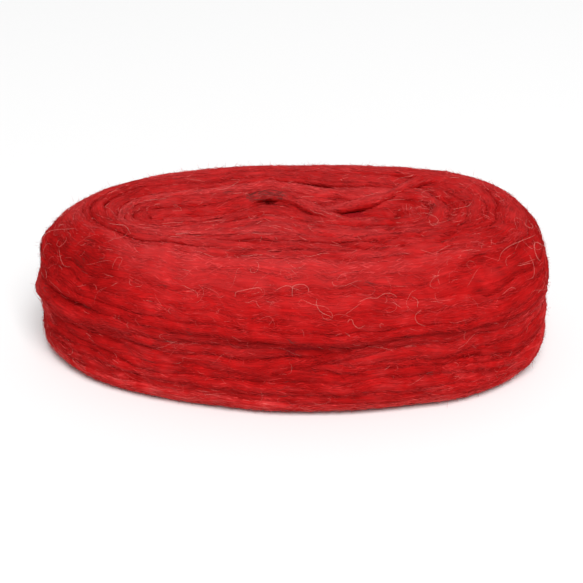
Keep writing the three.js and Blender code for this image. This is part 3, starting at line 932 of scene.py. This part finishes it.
def wandering_hairs(count, points, step, angles, lengths, turning, lift):
    """Hairs that wander just above the turns, within spans of angle and section length."""
    angle = rng.uniform(*angles, count)
    length = rng.uniform(*lengths, count)
    heading = rng.normal(0, 0.5, count) + math.pi * rng.integers(0, 2, count)
    bend = turning * rng.normal(size=count)
    height = rng.uniform(*lift, count)
    climb = rng.normal(0, CLIMB_SPREAD, count)
    lowest, highest = lift[0] - 0.2, lift[1] + 1.5
    small = 0.01
    paths, outs = [], []
    for _ in range(points):
        place, out = crest_at(angle, length, height)
        paths.append(place)
        outs.append(out)
        onward = wound_form(angle + small, length) - wound_form(angle, length)
        radius = np.maximum(np.linalg.norm(onward, axis=1) / small, LEAST_RADIUS)
        angle = angle + step * np.cos(heading) / radius
        length = np.clip(length + step * np.sin(heading), 4, section_length - 8)
        heading = heading + bend * step
        bend = BEND_KEPT * bend + BEND_NEW * turning * rng.normal(size=count)
        height = np.clip(height + climb, lowest, highest)
        climb = CLIMB_KEPT * climb + rng.normal(0, CLIMB_SPREAD, count)
    return np.stack(paths, 1), np.stack(outs, 1)


# The longest pale hairs, each as angles and section lengths that it passes
LAID_HAIRS = [
    [(320, 51.2), (325, 48), (330, 47.2), (339, 48.4), (351, 52)],
    [(355, 62.4), (348, 55.6), (344, 52.4), (341, 53.6), (340, 56.8), (342, 60.4)],
    [(336, 53.6), (336, 56.8), (335, 59.6), (333, 62), (330, 61.6)],
    [(318, 63.2), (320, 62), (322, 61.6), (324, 63.2)],
    [(350, 72.8), (342, 71.6), (335, 68.4), (332, 67.2), (330, 68.4)],
    [(186, 58.8), (186, 53.6), (192, 48.4), (197, 45.2), (200, 42.8)],
    [(201, 54), (204, 56), (206, 57.6), (208, 58.4), (210, 57.6)],
    [(206, 32), (210, 31.2), (214, 29.2), (219, 32.4), (222, 34.8)],
    [(224, 52.8), (224, 50), (224.5, 47.6), (226, 47.6), (226, 50.4), (226, 52.8)],
    [(265.6, 53.6), (267, 52.4), (268.8, 51.6), (270.2, 52.8), (271, 53.6)],
    [(270, 56), (270, 53.2), (270.2, 51.6), (271.2, 51.2), (272, 52.4), (272, 54.4)],
    [(256.4, 56.8), (256.4, 54.8), (258, 54), (260.8, 52.8), (262, 52.8), (262.6, 54.4)],
    [(270.6, 58.4), (271, 56.8), (272.4, 58.4), (274.6, 59.6), (275.2, 60.8)],
    [(280.4, 58.4), (283, 56.8), (284.2, 57.2), (286.4, 55.6), (288, 56), (289, 57.6)],
    [(278.4, 66), (278.6, 64.4), (279.2, 64.4), (279.4, 66), (280.4, 67.6), (281.6, 66.8)],
    [(350, 9.6), (341, 14.6), (329, 20.4), (318, 24.4), (322, 20.8), (334, 14.8)],
]


def laid_hairs(routes, points, height=1.1, arch=0.5):
    """Hairs laid just above the turns along measured routes."""
    paths, outs = [], []
    for route in routes:
        line = smooth_curve(np.array(route, float), steps=30)
        spaced = lengths_along(wound_form(np.radians(line[:, 0]), line[:, 1]))
        even = np.linspace(0, spaced[-1], points)
        angle = np.radians(np.interp(even, spaced, line[:, 0]))
        length = np.interp(even, spaced, line[:, 1])
        arched = height + arch * np.sin(np.pi * np.linspace(0, 1, points))
        place, out = crest_at(angle, length, arched)
        paths.append(place)
        outs.append(out)
    return np.stack(paths), np.stack(outs)


# The plate's pieces

TURN_SIDES, SHORT_TURN_SIDES = 16, 14
# Share of the tint that short turns keep, and how much darker the hairpin is
SHORT_TINT, HAIRPIN_TINT = 0.4, -0.5

plate = wind_plate()
crossing = [cross_slit(route) for route in CROSSING_TURNS] + [show_in_slit()]
slipping = [slip_on_wall(*row) for row in SLIPPING_TURNS]
for strand in crossing + slipping:
    strand.tint *= SHORT_TINT
hairpin = crossing[2]
hairpin.tint += HAIRPIN_TINT

wool = strand_material()
red_fibre = fibre_material("wool_fibre", RED_TONES)
pale_hair = fibre_material("wool_pale_hair", [
    (0.0, (0.58, 0.06, 0.055)), (0.5, (0.66, 0.17, 0.15)), (1.0, (0.75, 0.38, 0.32))])

core_piece("wool_turns_beneath", core_painted_shade_material())
strand_piece("wool_turns", [plate], TURN_SIDES, wool)
strand_piece("wool_turns_crossing", crossing + slipping, SHORT_TURN_SIDES, wool)

# Locks and fibres that lie along the turns
LOCK_POINTS, FIBRE_POINTS, PALE_SHARE = 3, 4, 0.04
# How many lie on short turns and under the plate, as shares, and how many degrees round a strand
SHORT_SHARE, UNDER_SHARE, MOST_TURN = 1.5, 0.1, 84
# Height of the strand's middle where it comes to the floor
FLOOR_TURN = 2.2

to_floor = plate.lengths[np.argmax(plate.middle[:, 2] < FLOOR_TURN)]


def cover(density, sizes, points, loft):
    """Fibres on all strands, so many for each millimetre of strand, from the top down."""
    spans = [(plate, 0, to_floor, density), (plate, to_floor, plate.lengths[-1], UNDER_SHARE * density)]
    spans += [(strand, 0, strand.lengths[-1], SHORT_SHARE * density) for strand in crossing + slipping]
    laid = []
    for strand, first, last, here in spans:
        count = int((last - first) * here)
        start = rng.uniform(first, last, count)
        turn = np.radians(rng.uniform(-MOST_TURN, MOST_TURN, count))
        laid.append(lying_fibres(strand, start, turn, rng.uniform(*sizes, count), points, loft))
    paths, outs, shade = (np.concatenate(rows) for rows in zip(*laid))
    order = np.argsort(-paths[:, points // 2, 2], kind="stable")
    return paths[order], outs[order], shade[order]


paths, outs, shade = cover(density=5.4, sizes=(1.7, 5.2), points=LOCK_POINTS, loft=0.22)
middles = paths[:, LOCK_POINTS // 2]
tone = np.clip(tones(middles, 0.57 + shade, spread=0.055, pale=0), 0.13, 0.86)
veil = veils_and_sheen(middles, shade, tone)
wide = rng.uniform(0.1, 0.27, len(paths))
thick = rng.uniform(0.08, 0.2, len(paths))
for number, rows in enumerate(np.array_split(np.arange(len(paths)), 2)):
    fibre_piece(f"wool_locks_{number + 1}", paths[rows], outs[rows], wide[rows], thick[rows], tone[rows],
                veil[rows], red_fibre)

paths, outs, shade = cover(density=1.3, sizes=(5, 14), points=FIBRE_POINTS, loft=0.6)
middles = paths[:, FIBRE_POINTS // 2]
tone = tones(middles, 0.59 + shade, spread=0.06, pale=PALE_SHARE)
veil = veils_and_sheen(middles, shade, tone)

# Dark flecks among the fibres: small groups of brown fibres, and more of them above the hole
FLECK_GROUPS, FLECKS_IN_GROUP, HOLE_FLECKS, FLECK_SIZES = 70, 3, 200, (2.5, 6.5)

spots = rng.uniform(0, to_floor, FLECK_GROUPS)
start = np.repeat(spots, FLECKS_IN_GROUP) + rng.normal(0, 1.5, FLECK_GROUPS * FLECKS_IN_GROUP)
turn = np.repeat(np.radians(rng.uniform(-75, 75, FLECK_GROUPS)), FLECKS_IN_GROUP)
turn = turn + rng.normal(0, 0.2, len(turn))
size = rng.uniform(*FLECK_SIZES, len(start))
flecks, fleck_outs, _ = lying_fibres(plate, start, turn, size, FIBRE_POINTS, loft=0.9)
start = rng.uniform(6, 27, HOLE_FLECKS)
turn = rng.uniform(-1.4, 1.4, HOLE_FLECKS)
size = rng.uniform(*FLECK_SIZES, HOLE_FLECKS)
brown, brown_outs, _ = lying_fibres(crossing[0], start, turn, size, FIBRE_POINTS, loft=0.6)
dark = len(flecks) + len(brown)
tone = np.append(tone, rng.uniform(0.02, 0.16, dark))
veil = np.append(veil, rng.uniform(0.1, 0.9, dark))
radius = np.append(rng.uniform(0.04, 0.075, len(paths)), rng.uniform(0.06, 0.1, dark))
paths = np.concatenate([paths, flecks, brown])
outs = np.concatenate([outs, fleck_outs, brown_outs])
hair_piece("wool_fibres", paths, outs, radius, tone, veil, red_fibre)

# Felt across the turns, and small curls above them
WHOLE, ON_SECTION = (0, TURN), (5, section_length - 8)
FELT_COUNT, FELT_POINTS, CURL_COUNT = 1200, 5, 2400

felt, outs = wandering_hairs(FELT_COUNT, FELT_POINTS, step=1.7, angles=WHOLE, lengths=ON_SECTION,
                             turning=0.1, lift=(-1.2, -0.2))
middles = felt[:, FELT_POINTS // 2]
tone = tones(middles, 0.57, spread=0.1, pale=PALE_SHARE)
veil = veils_and_sheen(middles, 0, tone)
hair_piece("wool_felt", felt, outs, rng.uniform(0.04, 0.07, FELT_COUNT), tone, veil, red_fibre)

curls, outs = wandering_hairs(CURL_COUNT, points=6, step=0.75, angles=WHOLE, lengths=ON_SECTION,
                              turning=0.55, lift=(-0.3, 0.4))
tone = 0.2 + 0.77 * rng.random(CURL_COUNT) ** 0.4
veil = rng.uniform(0.1, 0.95, CURL_COUNT)
hair_piece("wool_curls", curls, outs, rng.uniform(0.03, 0.055, CURL_COUNT), tone, veil, red_fibre)

# Fuzz, thicker towards the ends and the back, and paler on the outline as painted rim light
FUZZ_COUNT, FUZZ_TRIES, FUZZ_POINTS = 32000, 3, 3
FRONT_FUZZ, OUTLINE_RIM_LIGHT = 0.4, 0.4


def near_rim(points, ends, back):
    return np.maximum(smooth(np.abs(points[:, 0]), *ends), smooth(points[:, 1], *back))


start = rng.uniform(0, to_floor, FUZZ_TRIES * FUZZ_COUNT)
rim = near_rim(plate.at(start)[0], ends=(60, 90), back=(15, 40))
start = start[rng.random(len(start)) < FRONT_FUZZ + (1 - FRONT_FUZZ) * rim][:FUZZ_COUNT]
fuzz, outs, shade = fuzz_fibres(plate, start, FUZZ_POINTS)
middles = fuzz[:, FUZZ_POINTS // 2]
tone = tones(middles, 0.59 + shade, spread=0.13, pale=0.015)
rim = near_rim(middles, ends=(92, 106), back=(38, 52))
# Painted rim light: fuzz near the outline gets more veil
veil = np.clip(veils_and_sheen(middles, shade, tone) + OUTLINE_RIM_LIGHT * rim, *VEIL_LIMITS)
hair_piece("wool_fuzz", fuzz, outs, rng.uniform(0.03, 0.055, len(fuzz)), tone, veil, red_fibre)

# Pale hairs: number, step, angles in half turns, section lengths, turning and height, then the laid ones
HAIR_POINTS = 14
PALE_HAIRS = [
    (120, 0.9, (0, 2), (8, section_length - 10), 0.2, (0.0, 0.5)),
    (50, 0.8, (1.34, 1.78), (38, 80), 0.3, (0.1, 0.6)),
    (16, 0.9, (1.8, 2.1), (45, 80), 0.3, (0.1, 0.6)),
    (16, 0.9, (0.9, 1.25), (40, 80), 0.3, (0.1, 0.6)),
]

groups = [wandering_hairs(count, HAIR_POINTS, step, np.multiply(angles, math.pi), lengths, turning, lift)
          for count, step, angles, lengths, turning, lift in PALE_HAIRS]
groups.append(laid_hairs(LAID_HAIRS, HAIR_POINTS))
hairs, outs = (np.concatenate(rows) for rows in zip(*groups))
laid = len(LAID_HAIRS)
loose = len(hairs) - laid
radius = np.append(rng.uniform(0.017, 0.032, loose), rng.uniform(0.028, 0.042, laid))
tone = np.append(rng.uniform(0.02, 0.98, loose), rng.uniform(0.55, 0.9, laid))
hair_piece("wool_pale_hairs", hairs, outs, radius, tone, rng.uniform(*VEIL_LIMITS, len(hairs)), pale_hair)


# Floor, light and camera

FLOOR_HALF = 6.0


def floor_piece():
    mesh = bpy.data.meshes.new("floor")
    signs = [(-1, -1), (1, -1), (1, 1), (-1, 1)]
    mesh.from_pydata([(x * FLOOR_HALF, y * FLOOR_HALF, 0) for x, y in signs], [], [(0, 1, 2, 3)])
    floor = bpy.data.objects.new("floor", mesh)
    bpy.context.collection.objects.link(floor)
    material, nodes, surface = shader("pale_floor")
    mottled(nodes, surface, 3, [(0.3, (0.79, 0.79, 0.79)), (0.7, (0.81, 0.81, 0.81))])
    mesh.materials.append(material)


def area_light(name, place, aim, size, power):
    light = bpy.data.lights.new(name, "AREA")
    light.size = size
    light.energy = power
    lamp = bpy.data.objects.new(name, light)
    lamp.location = place
    lamp.rotation_euler = (Vector(aim) - Vector(place)).to_track_quat("-Z", "Y").to_euler()
    bpy.context.collection.objects.link(lamp)


floor_piece()
area_light("key", place=(0.5, -2.5, 3.9), aim=(0, 0, 0.03), size=2.4, power=256)

world = bpy.data.worlds.new("studio")
world.use_nodes = True
background = world.node_tree.nodes["Background"]
background.inputs["Color"].default_value = (1, 1, 1, 1)
background.inputs["Strength"].default_value = 0.42
bpy.context.scene.world = world
bpy.context.scene.view_settings.view_transform = "Standard"

# The photo's width in pixels, and the scale of the plate's middle in it
IMAGE, PIXELS_PER_METRE = 583, 2340
CAMERA_ELEVATION, CAMERA_DISTANCE = math.radians(32), 0.65
MIDDLE_HEIGHT = 0.033
AIM = Vector((-0.0003, 0, 0.0266))

camera_data = bpy.data.cameras.new("camera")
camera = bpy.data.objects.new("camera", camera_data)
bpy.context.collection.objects.link(camera)
camera.location = (0, -CAMERA_DISTANCE * math.cos(CAMERA_ELEVATION),
                   MIDDLE_HEIGHT + CAMERA_DISTANCE * math.sin(CAMERA_ELEVATION))
camera.rotation_euler = (AIM - camera.location).to_track_quat("-Z", "Y").to_euler()
camera_data.sensor_fit = "HORIZONTAL"
camera_data.angle = 2 * math.atan(IMAGE / 2 / (PIXELS_PER_METRE * CAMERA_DISTANCE))
bpy.context.scene.camera = camera
